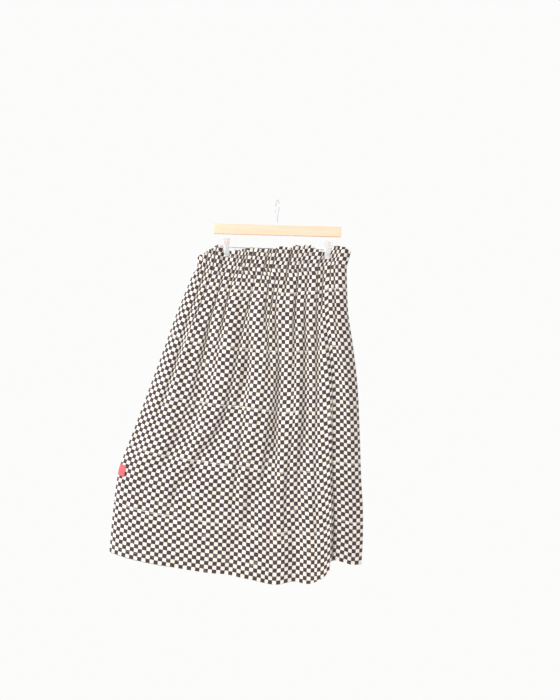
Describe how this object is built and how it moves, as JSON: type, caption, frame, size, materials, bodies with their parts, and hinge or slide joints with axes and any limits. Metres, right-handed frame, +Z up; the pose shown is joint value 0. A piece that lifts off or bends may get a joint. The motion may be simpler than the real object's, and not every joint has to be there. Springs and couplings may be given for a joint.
{
  "type": "gathered checkerboard maxi skirt on a wooden clip hanger",
  "caption": "Long gathered cotton skirt with a frilled elastic waist and a checkerboard print, hanging flat from the clips of a wooden hanger.",
  "frame": {"origin": "inside the top of the hook, where the hanger rests on a rail", "axes": "+Z up; -Y out of the skirt's front; +X along the hanger's bar to the right, seen from the front"},
  "size_m": [0.7624, 0.0909, 1.1433],
  "materials": {
    "checked_cotton_front": "matte, printed in ivory and charcoal squares",
    "checked_cotton_back": "matte, printed in ivory and charcoal squares",
    "gathered_cotton": "matte, gathered, printed in ivory and charcoal squares",
    "red_woven_tape": "woven, satin",
    "pale_wood": "satin, fine straight grain",
    "bright_wire": "bright plated wire",
    "clip_metal": "plated sheet, satin"
  },
  "bodies": {
    "root": {"front_panel": "checked_cotton_front", "back_panel": "checked_cotton_back", "heading_front": "gathered_cotton", "heading_back": "gathered_cotton", "side_label": "red_woven_tape", "hanger_bar": "pale_wood", "hanger_hook": "bright_wire", "hanger_rod": "bright_wire", "clip_left_front": "clip_metal", "clip_left_back": "clip_metal", "clip_left_spring": "clip_metal", "clip_right_front": "clip_metal", "clip_right_back": "clip_metal", "clip_right_spring": "clip_metal"}
  },
  "joints": []
}
